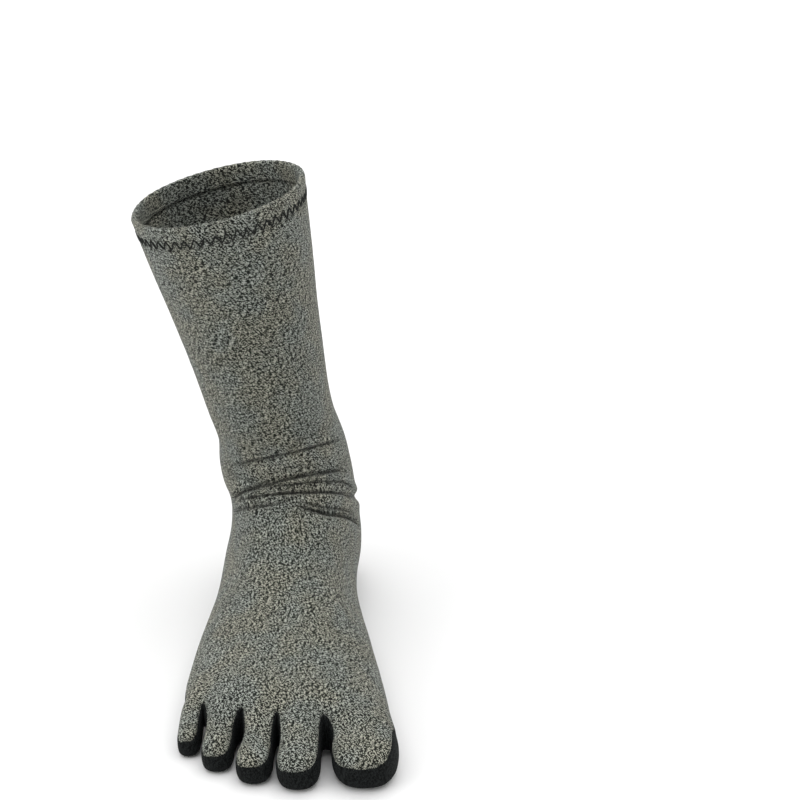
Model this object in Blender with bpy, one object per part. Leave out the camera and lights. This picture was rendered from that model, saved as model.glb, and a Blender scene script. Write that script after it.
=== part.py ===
"""A five-toe sock in its worn form, for a right foot that stands flat.

Metres, +Z up. The toes point to -Y and the big toe lies towards +X. The
origin is on the ground below the ankle's axis.

The cloth is one surface of rings. They lie level at the cuff, lean over
through the ankle and stand upright at the ball, where the last ring opens
into five toes. The surface is then cut into its sewn panels, and each panel
gets the thickness of its cloth.
"""

import math
from collections import namedtuple

import bpy
import numpy as np

# Leg and ankle
CUFF_HEIGHT = 0.222
CUFF_WIDTH = 0.0850
CUFF_DEPTH = 0.096
ANKLE_HEIGHT = 0.080
ANKLE_WIDTH = 0.063
ANKLE_DEPTH = 0.072
LEG_LEAN = math.radians(12.0)
LEAN_START = 0.062

# Foot
FOOT_LENGTH = 0.2295
HEEL_REACH = 0.047
HEEL_WIDTH = 0.068
BALL_WIDTH = 0.094
BALL_HEIGHT = 0.034
ARCH_LIFT = 0.009
FLOOR_PRESS = 0.0016

# Toes and the gaps between them
TOE_LENGTH = 0.0295
TOE_HEIGHT = 0.0220
TOE_GAP = 0.0007
TOE_LINE_SWEEP = 0.028
WEB_DIP = 0.0045
WEB_SPREAD = 0.5
WEB_BULGE = 0.0030

# Side gusset: its width, and where its two points start before the toe roots
GUSSET_BAND = 0.0096
GUSSET_REACH_MEDIAL = 0.049
GUSSET_REACH_LATERAL = 0.024

# Cloth
JERSEY_WALL = 0.0014
GUSSET_WALL = 0.0012
HEM_WALL = 0.0030
HEM_HEIGHT = 0.0110
SEAM_GAP = 0.0003
CROTCH_GAP = 0.0006
FOLD_DEPTH = 0.0026
FOLD_BREADTH = 0.0030

# Most that a sharp corner's mitre may grow, as a share of half the seam's gap
LONGEST_MITRE = 8.0

# Mesh columns across a side gusset, and points in a quarter of an outline
SIDE_COLUMNS = 2
QUARTER_POINTS = 36

TOE_REACH = FOOT_LENGTH - HEEL_REACH
ROOT_REACH = TOE_REACH - TOE_LENGTH

# Leg rings, from the cuff down to the ankle.
# rise: share of the way from the ankle's height up to the hem's lower edge.
# width, depth: share of the way from the ankle's size to the cuff's.
# front: share of the depth that lies before the ankle's axis.
# rows: mesh rows to the next ring.
LegRing = namedtuple("LegRing", "rise width depth front rows")
LEG_RINGS = (
    LegRing(1.00, 1.00, 1.00, 0.470, 2),
    LegRing(0.82, 0.75, 0.80, 0.475, 2),
    LegRing(0.62, 0.40, 0.52, 0.485, 2),
    LegRing(0.42, 0.13, 0.22, 0.510, 2),
    LegRing(0.27, -0.03, 0.03, 0.530, 2),
)

# Foot rings, from the ankle to the toe roots.
# top_y, sole_y: share of the toe roots' reach before the ankle's axis, or of
# the heel's reach behind it where negative.
# top_z: 0 at the ball's height and 1 at the ankle's.
# sole_z: share of the ankle's height.
# lateral, medial: half widths, as shares of half the width named by follows.
# belly: where the ring is widest, from 0 at its top to 1 at its sole.
# crest: how far its top lies to the medial side, a share of the half width.
# top_round, sole_round: 2 is an ellipse, and more is squarer.
# arch, sweep, toes: shares of the arch's lift, of the toe line's sweep, and
# of the way from even columns to columns spaced as the toes are.
FootRing = namedtuple(
    "FootRing",
    "top_y top_z sole_y sole_z follows lateral medial belly crest"
    " top_round sole_round arch sweep toes rows",
)
FOOT_RINGS = (
    FootRing(0.245, 1.50, -0.71, 1.26, ANKLE_WIDTH, 0.95, 0.98, 0.50, 0.00, 2.1, 2.1, 0.0, 0.00, 0.0, 3),
    FootRing(0.252, 1.28, -0.71, 1.05, ANKLE_WIDTH, 1.03, 1.04, 0.52, 0.00, 2.1, 2.1, 0.0, 0.00, 0.0, 3),
    FootRing(0.278, 1.09, -0.73, 0.84, HEEL_WIDTH, 0.97, 0.97, 0.53, 0.00, 2.1, 2.1, 0.0, 0.00, 0.0, 3),
    FootRing(0.307, 0.92, -0.80, 0.63, HEEL_WIDTH, 0.91, 0.99, 0.54, 0.03, 2.1, 2.1, 0.0, 0.00, 0.0, 3),
    FootRing(0.344, 0.77, -0.93, 0.42, HEEL_WIDTH, 0.93, 1.01, 0.56, 0.06, 2.1, 2.2, 0.0, 0.00, 0.0, 3),
    FootRing(0.387, 0.63, -1.00, 0.25, HEEL_WIDTH, 0.98, 1.03, 0.58, 0.10, 2.1, 2.3, 0.0, 0.00, 0.0, 3),
    FootRing(0.434, 0.51, -0.89, 0.08, HEEL_WIDTH, 1.05, 1.03, 0.60, 0.14, 2.1, 2.5, 0.1, 0.00, 0.0, 2),
    FootRing(0.483, 0.42, -0.54, -0.02, HEEL_WIDTH, 1.09, 0.98, 0.62, 0.20, 2.1, 2.8, 0.3, 0.00, 0.0, 1),
    FootRing(0.537, 0.33, 0.02, -0.02, HEEL_WIDTH, 1.11, 0.97, 0.64, 0.26, 2.1, 3.0, 0.7, 0.02, 0.1, 1),
    FootRing(0.600, 0.24, 0.22, -0.02, BALL_WIDTH, 0.87, 0.755, 0.67, 0.32, 2.1, 3.2, 1.0, 0.05, 0.2, 1),
    FootRing(0.672, 0.15, 0.41, -0.02, BALL_WIDTH, 0.94, 0.87, 0.70, 0.34, 2.1, 3.4, 0.8, 0.12, 0.4, 1),
    FootRing(0.750, 0.07, 0.59, -0.02, BALL_WIDTH, 0.98, 0.97, 0.71, 0.34, 2.1, 3.5, 0.3, 0.25, 0.6, 2),
    FootRing(0.832, 0.00, 0.76, -0.02, BALL_WIDTH, 1.00, 1.05, 0.70, 0.32, 2.2, 3.6, 0.0, 0.45, 0.8, 2),
    FootRing(0.920, -0.07, 0.89, -0.01, BALL_WIDTH, 0.99, 1.10, 0.68, 0.28, 2.4, 3.6, 0.0, 0.72, 1.0, 2),
    FootRing(1.000, -0.13, 1.00, 0.02, BALL_WIDTH, 0.97, 1.15, 0.66, 0.24, 2.7, 3.6, 0.0, 1.00, 1.0, 0),
)

# Toes, from the little toe to the big toe.
# columns: mesh columns over its top. web: its medial crotch, a share of half
# the ball's width. lateral, medial: its edges at its fullest, as such shares.
# reach: its tip, as a share of the big toe's. height: share of the big toe's.
# neck: how far its lateral side draws in behind its pad, a share of half its width.
# climb, drop: how much higher its gusset reaches on the medial side, and lower
# at the tip, as shares of half the gusset's width.
Toe = namedtuple("Toe", "name columns web lateral medial reach height neck climb drop")
TOES = (
    Toe("little", 4, -0.760, -1.010, -0.755, 0.850, 0.70, 0.03, 1.2, 0.6),
    Toe("fourth", 4, -0.355, -0.755, -0.410, 0.920, 0.76, 0.25, 0.9, 0.6),
    Toe("third", 4, -0.010, -0.410, -0.020, 0.973, 0.82, 0.45, 0.9, 0.6),
    Toe("second", 4, 0.440, -0.020, 0.440, 1.000, 0.88, 0.18, 0.8, 0.6),
    Toe("big", 6, None, 0.500, 1.190, 1.000, 1.00, 0.09, 1.2, 0.6),
)
# Share of a toe's height where it is widest, and its roundness from the side
# and from above
TOE_BELLY = 0.38
TOE_ROUND = 2.9
TOE_PLAN_ROUND = 2.4
# Mesh rows along a toe's straight part and over its domed tip
TOE_ROWS = (0.20, 0.50, 0.78)
DOME_ROWS = 2

# Creases across the ankle's front, from the top one down.
# crest: height of its highest point, a share of the ankle's.
# turn: where that point lies round the ankle, from -1 lateral to 1 medial.
# bend: how fast the crease falls away from there, a share of the ankle's height.
# start, end: its reach round the ankle, as turns.
# depth, breadth: shares of the fold's depth and breadth.
Crease = namedtuple("Crease", "crest turn bend start end depth breadth")
CREASES = (
    Crease(1.250, 0.22, 0.47, -0.45, 0.65, 0.45, 1.0),
    Crease(1.118, 0.20, 0.63, -0.46, 0.65, 0.80, 0.9),
    Crease(1.020, 0.14, 0.88, -0.34, 0.70, 0.75, 0.9),
    Crease(0.905, 0.05, 1.15, -0.25, 0.65, 0.50, 0.9),
)
CREASE_FADE = 0.30

# name: slot colour, roughness
FINISHES = {
    "body": ((0.33, 0.34, 0.31), 0.95),
    "toe_gusset": ((0.012, 0.013, 0.013), 0.9),
    "hem": ((0.33, 0.34, 0.31), 0.95),
}


def lerp(a, b, share):
    return a + (b - a) * share


def smooth_step(share):
    share = np.clip(share, 0.0, 1.0)
    return share * share * (3.0 - 2.0 * share)


# Rings of the leg and foot


def lean(height):
    """How far the leg's axis lies to the lateral side at a height."""
    return -math.tan(LEG_LEAN) * max(0.0, height - LEAN_START)


def leg_ring(ring):
    height = lerp(ANKLE_HEIGHT, CUFF_HEIGHT - HEM_HEIGHT, ring.rise)
    width = lerp(ANKLE_WIDTH, CUFF_WIDTH, ring.width)
    depth = lerp(ANKLE_DEPTH, CUFF_DEPTH, ring.depth)
    front = ring.front * depth
    side = lean(height)
    half = width / 2
    return (side, -front, height, side, depth - front, height, half, half, 0.5, 0.0,
            2.1, 2.1, 0.0, 0.0, 0.0, LEG_LEAN)


def along(share):
    """A length before the ankle's axis, or behind it for a negative share."""
    reach = ROOT_REACH if share > 0 else HEEL_REACH
    return -share * reach


def foot_ring(ring):
    top_z = lerp(BALL_HEIGHT, ANKLE_HEIGHT, ring.top_z)
    sole_z = ring.sole_z * ANKLE_HEIGHT
    half = ring.follows / 2
    tilt = LEG_LEAN * float(smooth_step(ring.top_z - 0.5))
    return (lean(top_z), along(ring.top_y), top_z, lean(sole_z), along(ring.sole_y), sole_z,
            ring.lateral * half, ring.medial * half, ring.belly, ring.crest * half,
            ring.top_round, ring.sole_round, ring.arch * ARCH_LIFT,
            ring.sweep * TOE_LINE_SWEEP, ring.toes, tilt)


Ring = namedtuple(
    "Ring",
    "top_x top_y top_z sole_x sole_y sole_z lateral medial belly crest"
    " top_round sole_round arch sweep toes tilt",
)


def smooth_rows(keys, steps):
    """Rings on a smooth curve through the key rings."""
    keys = np.array(keys)
    middles = (keys[:, 0:3] + keys[:, 3:6]) / 2
    spans = np.linalg.norm(np.diff(middles, axis=0), axis=1)
    slopes = np.diff(keys, axis=0) / spans[:, None]
    tangents = np.empty_like(keys)
    before, after = spans[:-1, None], spans[1:, None]
    tangents[1:-1] = (slopes[:-1] * after + slopes[1:] * before) / (before + after)
    tangents[0] = slopes[0]
    tangents[-1] = slopes[-1]
    rows = []
    for i, count in enumerate(steps[:-1]):
        for j in range(count):
            t = j / count
            start = (2 * t**3 - 3 * t**2 + 1) * keys[i] + (t**3 - 2 * t**2 + t) * spans[i] * tangents[i]
            end = (3 * t**2 - 2 * t**3) * keys[i + 1] + (t**3 - t**2) * spans[i] * tangents[i + 1]
            rows.append(Ring(*(start + end)))
    rows.append(Ring(*keys[-1]))
    return rows


def side_path(ring, half, sign):
    """One side of a ring, from its top to its sole: across, and down from 0 to 1."""
    turn = np.linspace(0.0, math.pi / 2, QUARTER_POINTS)
    crest = ring.crest * sign
    top_across = crest + (half - crest) * np.sin(turn) ** (2 / ring.top_round)
    top_down = ring.belly * (1 - np.cos(turn) ** (2 / ring.top_round))
    sole_across = half * np.cos(turn) ** (2 / ring.sole_round)
    sole_down = ring.belly + (1 - ring.belly) * np.sin(turn) ** (2 / ring.sole_round)
    across = np.concatenate((top_across, sole_across[1:]))
    down = np.concatenate((top_down, sole_down[1:]))
    return sign * across, down


def ring_outline(ring):
    """A ring's closed outline in space, from the sole up the lateral side and round."""
    lateral_across, lateral_down = side_path(ring, ring.lateral, -1)
    medial_across, medial_down = side_path(ring, ring.medial, 1)
    across = np.concatenate((lateral_across[::-1], medial_across[1:]))
    down = np.concatenate((lateral_down[::-1], medial_down[1:]))
    top = np.array((ring.top_x, ring.top_y, ring.top_z))
    sole = np.array((ring.sole_x, ring.sole_y, ring.sole_z))
    sideways = np.array((math.cos(ring.tilt), 0.0, math.sin(ring.tilt)))
    points = top + down[:, None] * (sole - top) + across[:, None] * sideways
    medial_share = np.clip(across / ring.medial, 0.0, 1.0)
    points[:, 2] += ring.arch * medial_share**2 * down
    half = (ring.lateral + ring.medial) / 2
    points[:, 1] += ring.sweep * np.clip((1 - across / half) / 2, 0.0, 1.2) ** 3
    return points, across


# Columns round a ring

TOP_COLUMNS = sum(toe.columns for toe in TOES)
RING_COLUMNS = 2 * TOP_COLUMNS + 2 * SIDE_COLUMNS
WIDEST_LATERAL = QUARTER_POINTS - 1
WIDEST_MEDIAL = 3 * QUARTER_POINTS - 3


def web_columns():
    """The top columns where one toe ends and the next begins."""
    ends = np.cumsum([toe.columns for toe in TOES])
    return [0] + [int(end) for end in ends]


def toe_spacing(distances, across, start, end):
    """Places of the top or sole columns that follow the toes' webs."""
    webs = [toe.web * BALL_WIDTH / 2 for toe in TOES[:-1]]
    if across[-1] < across[0]:
        webs_on_arc = np.interp(webs, across[::-1], distances[::-1])
        knots = [end, *webs_on_arc, start]
    else:
        webs_on_arc = np.interp(webs, across, distances)
        knots = [start, *webs_on_arc, end]
    places = np.interp(np.arange(TOP_COLUMNS + 1), web_columns(), knots)
    return places if across[-1] > across[0] else places[::-1]


def column_places(ring, points, across, lateral_half, medial_half):
    """Distances along a ring's outline of its columns, lateral top edge first."""
    lengths = np.linalg.norm(np.diff(points, axis=0), axis=1)
    distances = np.concatenate(([0.0], np.cumsum(lengths)))
    whole = distances[-1]
    lateral = distances[WIDEST_LATERAL]
    medial = distances[WIDEST_MEDIAL]
    top_start, top_end = lateral + lateral_half, medial - medial_half
    sole_start, sole_end = medial + medial_half, whole + lateral - lateral_half
    top_part = slice(WIDEST_LATERAL, WIDEST_MEDIAL + 1)
    sole_distances = np.concatenate((distances[WIDEST_MEDIAL:], whole + distances[1 : WIDEST_LATERAL + 1]))
    sole_across = np.concatenate((across[WIDEST_MEDIAL:], across[1 : WIDEST_LATERAL + 1]))
    even = np.linspace(0.0, 1.0, TOP_COLUMNS + 1)
    top = lerp(
        lerp(top_start, top_end, even),
        toe_spacing(distances[top_part], across[top_part], top_start, top_end),
        ring.toes,
    )
    sole = lerp(
        lerp(sole_start, sole_end, even),
        toe_spacing(sole_distances, sole_across, sole_start, sole_end),
        ring.toes,
    )
    inner = np.arange(1, SIDE_COLUMNS) / SIDE_COLUMNS
    medial_side = lerp(top_end, sole_start, inner)
    lateral_side = lerp(sole_end, whole + top_start, inner)
    places = np.concatenate((top, medial_side, sole, lateral_side)) % whole
    return places, distances


def gusset_half(side_y, start, full):
    """Half the side gusset's width where the side of a ring lies."""
    share = smooth_step((start - side_y) / (start - full))
    return GUSSET_BAND / 2 * max(0.12, float(share))


def foot_surface(rings):
    """The leg and foot as rows of points, and the first gusset row of each side."""
    medial_start = -(ROOT_REACH - GUSSET_REACH_MEDIAL)
    lateral_start = -(ROOT_REACH - TOE_LINE_SWEEP - GUSSET_REACH_LATERAL)
    rows = []
    first = {"medial": None, "lateral": None}
    for index, ring in enumerate(rings):
        points, across = ring_outline(ring)
        even_half = np.linalg.norm(np.diff(points, axis=0), axis=1).sum() / RING_COLUMNS
        halves = {}
        for side, widest, start, full in (
            ("medial", WIDEST_MEDIAL, medial_start, -ROOT_REACH),
            ("lateral", WIDEST_LATERAL, lateral_start, TOE_LINE_SWEEP - ROOT_REACH),
        ):
            side_y = points[widest, 1]
            halves[side] = even_half
            if index > len(rings) // 2 and side_y < start:
                if first[side] is None:
                    first[side] = index - 1
                halves[side] = gusset_half(side_y, start, full)
        places, distances = column_places(ring, points, across, halves["lateral"], halves["medial"])
        row = np.column_stack([np.interp(places, distances, points[:, axis]) for axis in range(3)])
        rows.append(row)
    dip_webs(rows)
    return rows, first


def dip_webs(rows):
    """Sink the last rows along each web, so that the toes stand out."""
    webs = web_columns()[1:-1]
    for row, share in zip(rows[-3:], (0.05, 0.35, 1.0)):
        for web in webs:
            for column, part in ((web - 1, WEB_SPREAD), (web, 1.0), (web + 1, WEB_SPREAD)):
                row[column, 2] -= share * part * WEB_DIP
                row[sole_column(column), 2] += share * part * WEB_DIP / 2


def sole_column(top_column):
    """The sole column that lies under a top column."""
    return 2 * TOP_COLUMNS + SIDE_COLUMNS - top_column


# Creases


def crease_height(crease, turn):
    """Height of a crease at a turn from -1, lateral, to 1, medial."""
    return (crease.crest - crease.bend * (turn - crease.turn) ** 2) * ANKLE_HEIGHT


def crease_shift(point):
    """How far the creases push the cloth in (negative) or out at a point."""
    side = point[0] - lean(point[2])
    turn = math.atan2(side, -point[1] + ANKLE_DEPTH / 8) / (math.pi / 2)
    shift = 0.0
    for crease in CREASES:
        fade_in = float(smooth_step((turn - crease.start) / CREASE_FADE))
        fade_out = float(smooth_step((crease.end - turn) / CREASE_FADE))
        away = (point[2] - crease_height(crease, turn)) / (FOLD_BREADTH * crease.breadth)
        valley = -math.exp(-(away**2))
        roll = 0.45 * math.exp(-((away + 1.7) ** 2)) + 0.30 * math.exp(-((away - 1.7) ** 2))
        shift += FOLD_DEPTH * crease.depth * fade_in * fade_out * (valley + roll)
    return shift


def crease_rows(rows):
    """Move the rows' points along the outward direction by their creases."""
    for row in rows:
        centre = row.mean(axis=0)
        for point in row:
            shift = crease_shift(point)
            if abs(shift) > FOLD_DEPTH * 0.02:
                outward = point - centre
                outward /= np.linalg.norm(outward)
                point += outward * shift


# Toes


def toe_sizes(toe):
    """A toe's own lengths, worked out from the ball's width and the big toe."""
    half_ball = BALL_WIDTH / 2
    height = toe.height * TOE_HEIGHT
    belly = TOE_BELLY * height
    half = (toe.medial - toe.lateral) * half_ball / 2 - TOE_GAP / 2
    return {
        "centre": (toe.medial + toe.lateral) * half_ball / 2,
        "half": half,
        "tip": -toe.reach * TOE_REACH,
        "dome": 1.15 * half,
        "belly": belly,
        "above": height - belly,
        "below": belly + FLOOR_PRESS,
        "band": toe.height * GUSSET_BAND / 2,
        "climb": toe.climb,
        "drop": toe.drop,
    }


def power(value, exponent):
    return np.sign(value) * np.abs(value) ** exponent


def band_angle(size, reach, growth):
    """Angle above or below a toe's widest line where its gusset ends."""
    return math.asin((size["band"] * (1 + growth) / reach) ** (TOE_ROUND / 2))


def dome_point(size, plan_turn, lift):
    """A point of a toe's tip: plan_turn from -90 to 90 degrees, lift from the widest line."""
    reach = size["above"] if lift > 0 else size["below"]
    flat = math.cos(lift) ** (2 / TOE_ROUND)
    x = size["half"] * power(math.sin(plan_turn), 2 / TOE_PLAN_ROUND) * flat
    y = size["dome"] * power(math.cos(plan_turn), 2 / TOE_PLAN_ROUND) * flat
    z = reach * power(math.sin(lift), 2 / TOE_ROUND)
    return np.array((size["centre"] + x, size["tip"] + size["dome"] - y, size["belly"] + z))


def plan_turn_and_edge(u, v):
    """From the square grid over a dome to its plan angle, and its nearness to the edge."""
    edge = max(abs(u), v)
    if edge < 1e-9:
        return 0.0, 0.0
    quarter = math.pi / 4
    if v < abs(u):
        turn = math.copysign(2 * quarter - quarter * v / abs(u), u)
    else:
        turn = quarter * u / v
    return turn, edge


def upper_angle(size, plan_turn):
    """Where the gusset ends above the widest line, which may climb on the medial side."""
    share = float(smooth_step(plan_turn / (math.pi / 2)))
    return band_angle(size, size["above"], size["climb"] * share)


def lower_angle(size, plan_turn):
    """Where the gusset ends below the widest line: lower at the tip, higher where it climbs."""
    share = float(smooth_step(plan_turn / (math.pi / 2)))
    return band_angle(size, size["below"], size["drop"] - size["climb"] * share / 2)


def dome_row(size, columns, v):
    """One ring of a toe's domed tip, in the order of a toe ring."""
    across = np.linspace(-1.0, 1.0, columns + 1)
    points = []
    for u in across:
        turn, edge = plan_turn_and_edge(u, v)
        points.append(dome_point(size, turn, lerp(math.pi / 2, upper_angle(size, turn), edge)))
    side_turn, _ = plan_turn_and_edge(1.0, v)
    up, down = upper_angle(size, side_turn), lower_angle(size, side_turn)
    for k in range(1, SIDE_COLUMNS):
        points.append(dome_point(size, side_turn, lerp(up, -down, k / SIDE_COLUMNS)))
    for u in across[::-1]:
        turn, edge = plan_turn_and_edge(u, v)
        points.append(dome_point(size, turn, -lerp(math.pi / 2, lower_angle(size, turn), edge)))
    up, down = upper_angle(size, -side_turn), lower_angle(size, -side_turn)
    for k in range(1, SIDE_COLUMNS):
        points.append(dome_point(size, -side_turn, lerp(-down, up, k / SIDE_COLUMNS)))
    return np.array(points)


def straight_row(toe, size, root, share):
    """One ring of a toe's straight part, between its root ring and its dome."""
    full = dome_row(size, toe.columns, 0.0)
    start_y = root[:, 1]
    shape = 1 - (1 - share) ** 4
    drop = smooth_step(share) * 0.6 + share * 0.4
    across = full[:, 0] - size["centre"]
    narrow = np.where(across < 0, 1 - toe.neck * math.sin(math.pi * share), 1.0)
    row = np.empty_like(root)
    row[:, 0] = lerp(root[:, 0], size["centre"] + across * narrow, shape)
    row[:, 1] = lerp(start_y, full[:, 1], share)
    row[:, 2] = lerp(root[:, 2], full[:, 2], drop)
    return row


def front_points(size, columns):
    """The inner points of a toe's front face, between the ends of its gusset."""
    grid = []
    for k in range(1, SIDE_COLUMNS):
        line = []
        for u in np.linspace(-1.0, 1.0, columns + 1)[1:-1]:
            turn, _ = plan_turn_and_edge(u, 1.0)
            lift = lerp(upper_angle(size, turn), -lower_angle(size, turn), k / SIDE_COLUMNS)
            line.append(dome_point(size, turn, lift))
        grid.append(line)
    return grid


# The whole surface as points and faces with their panels


class Surface:
    """Points and faces, where each face names the panel that it belongs to."""

    def __init__(self):
        self.points = []
        self.faces = []
        self.panels = []
        self.webs = []

    def add(self, points):
        first = len(self.points)
        self.points.extend(np.array(point, dtype=float) for point in points)
        return list(range(first, len(self.points)))

    def face(self, corners, panel):
        distinct = [corner for i, corner in enumerate(corners) if corner != corners[i - 1]]
        if len(distinct) > 2:
            self.faces.append(tuple(distinct))
            self.panels.append(panel)


def foot_panel(column, row, first):
    """The panel of the face after a column, between a row and the next one."""
    if TOP_COLUMNS <= column < TOP_COLUMNS + SIDE_COLUMNS:
        return "toe_gusset" if row > first["medial"] else "body"
    if column >= RING_COLUMNS - SIDE_COLUMNS:
        return "toe_gusset" if row > first["lateral"] else "body"
    return "body"


def add_gusset_point(surface, upper, lower, columns):
    """Faces of the row where a side gusset starts in a point."""
    left, middle, right = columns
    for side, flip in ((left, False), (right, True)):
        tip = (upper[middle], lower[middle], lower[side])
        rest = (upper[side], upper[middle], lower[side])
        surface.face(tip if flip else tip[::-1], "toe_gusset")
        surface.face(rest[::-1] if not flip else rest, "body")


def add_foot_faces(surface, index_rows, first):
    medial_columns = (TOP_COLUMNS, TOP_COLUMNS + 1, TOP_COLUMNS + 2)
    lateral_columns = (RING_COLUMNS - 2, RING_COLUMNS - 1, 0)
    for row, (upper, lower) in enumerate(zip(index_rows[:-1], index_rows[1:])):
        skip = set()
        for side, columns in (("medial", medial_columns), ("lateral", lateral_columns)):
            if row == first[side]:
                add_gusset_point(surface, upper, lower, columns)
                skip.update(columns[:2])
        for column in range(RING_COLUMNS):
            if column in skip:
                continue
            after = (column + 1) % RING_COLUMNS
            corners = (upper[column], lower[column], lower[after], upper[after])
            surface.face(corners, foot_panel(column, row, first))


def web_line(surface, last_row, index_row, web):
    """Indices down a web between two toes, from the top surface to the sole."""
    top, sole = last_row[web], last_row[sole_column(web)]
    line = [index_row[web]]
    for k in range(1, SIDE_COLUMNS):
        share = k / SIDE_COLUMNS
        point = lerp(top, sole, share)
        point[1] -= WEB_BULGE * 4 * share * (1 - share)
        line.extend(surface.add([point]))
    return [*line, index_row[sole_column(web)]]


def toe_root(index_row, web_lines, number):
    """A toe's root ring: over its top, down one web, along its sole and up the other."""
    webs = web_columns()
    start, end = webs[number], webs[number + 1]
    top = [index_row[column] for column in range(start, end + 1)]
    sole = [index_row[sole_column(column)] for column in range(end, start - 1, -1)]
    return [*top, *web_lines[number + 1][1:-1], *sole, *web_lines[number][1:-1][::-1]]


def toe_face_panel(column, columns):
    """The panel of a toe ring's face: gusset on the two sides, jersey elsewhere."""
    position = column % (2 * columns + 2 * SIDE_COLUMNS)
    if columns <= position < columns + SIDE_COLUMNS:
        return "toe_gusset"
    if position >= 2 * columns + SIDE_COLUMNS:
        return "toe_gusset"
    return "body"


def add_toe(surface, toe, root):
    size = toe_sizes(toe)
    root_points = np.array([surface.points[i] for i in root])
    rows = [straight_row(toe, size, root_points, share) for share in TOE_ROWS]
    rows += [dome_row(size, toe.columns, step / DOME_ROWS) for step in range(DOME_ROWS + 1)]
    rings = [root]
    for row in rows:
        rings.append(surface.add(row))
    count = len(root)
    for upper, lower in zip(rings[:-1], rings[1:]):
        for column in range(count):
            after = (column + 1) % count
            corners = (upper[column], lower[column], lower[after], upper[after])
            surface.face(corners, toe_face_panel(column, toe.columns))
    add_toe_front(surface, toe, size, rings[-1])


def add_toe_front(surface, toe, size, ring):
    """Close a toe's tip with the stretch of gusset that runs round its front."""
    columns = toe.columns
    top = ring[: columns + 1]
    medial_side = ring[columns + 1 : columns + SIDE_COLUMNS]
    sole = ring[columns + SIDE_COLUMNS : 2 * columns + SIDE_COLUMNS + 1][::-1]
    lateral_side = ring[2 * columns + SIDE_COLUMNS + 1 :][::-1]
    lines = [top]
    for k, inner in enumerate(front_points(size, columns)):
        lines.append([lateral_side[k], *surface.add(inner), medial_side[k]])
    lines.append(sole)
    for upper, lower in zip(lines[:-1], lines[1:]):
        for column in range(columns):
            corners = (upper[column], lower[column], lower[column + 1], upper[column + 1])
            surface.face(corners, "toe_gusset")


def sock_surface():
    """The outside of the whole sock below its hem, and the ring that the hem sits on."""
    keys = [leg_ring(ring) for ring in LEG_RINGS] + [foot_ring(ring) for ring in FOOT_RINGS]
    steps = [ring.rows for ring in LEG_RINGS] + [ring.rows for ring in FOOT_RINGS]
    rows, first = foot_surface(smooth_rows(keys, steps))
    crease_rows(rows)
    surface = Surface()
    index_rows = [surface.add(row) for row in rows]
    add_foot_faces(surface, index_rows, first)
    webs = web_columns()
    last = rows[-1]
    medial_side = index_rows[-1][TOP_COLUMNS : TOP_COLUMNS + SIDE_COLUMNS + 1]
    lateral_side = index_rows[-1][2 * TOP_COLUMNS + SIDE_COLUMNS :] + index_rows[-1][:1]
    lines = [lateral_side[::-1]]
    for web in webs[1:-1]:
        lines.append(web_line(surface, last, index_rows[-1], web))
        surface.webs.append(lines[-1])
    lines.append(medial_side)
    for number, toe in enumerate(TOES):
        add_toe(surface, toe, toe_root(index_rows[-1], lines, number))
    for point in surface.points:
        point[2] = max(point[2], 0.0)
    return surface, index_rows


# Cloth panels with thickness


def corner_normals(surface):
    """Outward normal at each point, weighted by the corner's angle in each face."""
    points = np.array(surface.points)
    normals = np.zeros_like(points)
    for face in surface.faces:
        count = len(face)
        for i, corner in enumerate(face):
            ahead = points[face[(i + 1) % count]] - points[corner]
            behind = points[face[i - 1]] - points[corner]
            turn = np.cross(ahead, behind)
            size = np.linalg.norm(turn)
            if size > 1e-14:
                angle = math.atan2(size, float(ahead @ behind))
                normals[corner] += turn / size * angle
    # A web's wall goes straight back between its two toes, so it leans neither way
    for web in surface.webs:
        ahead = slot_ahead(surface, web)
        across = np.array((ahead[1], -ahead[0], 0.0))
        normals[web] -= np.outer(normals[web] @ across, across)
    return normals / np.linalg.norm(normals, axis=1)[:, None]


def slot_ahead(surface, web):
    """The level direction in which the slot before a web opens."""
    beside = []
    for face, panel in zip(surface.faces, surface.panels):
        if panel == "toe_gusset":
            for corner, after in zip(face, face[1:] + face[:1]):
                if (corner in web) != (after in web):
                    beside.append(surface.points[after if corner in web else corner])
    ahead = np.mean(beside, axis=0) - np.mean([surface.points[corner] for corner in web], axis=0)
    ahead[2] = 0.0
    return ahead / np.linalg.norm(ahead)


def face_owners(surface):
    """The panel that holds each directed edge."""
    owners = {}
    for face, panel in zip(surface.faces, surface.panels):
        for corner, after in zip(face, face[1:] + face[:1]):
            owners[(corner, after)] = panel
    return owners


def face_normal(corners):
    return np.cross(corners, np.roll(corners, -1, axis=0)).sum(axis=0)


def seam_ways(surface, owners):
    """For each panel and seam point, the ways into the panel across its seam edges."""
    ways = {}
    points = surface.points
    for face, panel in zip(surface.faces, surface.panels):
        upward = face_normal(np.array([points[corner] for corner in face]))
        for corner, after in zip(face, face[1:] + face[:1]):
            if owners.get((after, corner), panel) != panel:
                way = np.cross(upward, points[after] - points[corner])
                way /= np.linalg.norm(way)
                ways.setdefault((panel, corner), []).append(way)
                ways.setdefault((panel, after), []).append(way)
    return ways


def seam_moves(surface, owners):
    """How far each panel's seam points stand back: half the gap, more at a sharp corner."""
    ways = seam_ways(surface, owners)
    middles = {key: np.mean(found, axis=0) for key, found in ways.items()}
    growth = {}
    for (_, corner), middle in middles.items():
        sharper = min(1.0 / max(np.linalg.norm(middle), 1e-6), LONGEST_MITRE)
        growth[corner] = max(growth.get(corner, 1.0), sharper)
    moves = {}
    for key, middle in middles.items():
        length = max(np.linalg.norm(middle), 1e-6)
        moves[key] = middle / length * growth[key[1]] * SEAM_GAP / 2
    for web in surface.webs:
        for crotch in (web[0], web[-1]):
            moves[("body", crotch)] = -slot_ahead(surface, web) * CROTCH_GAP
    return moves


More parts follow.
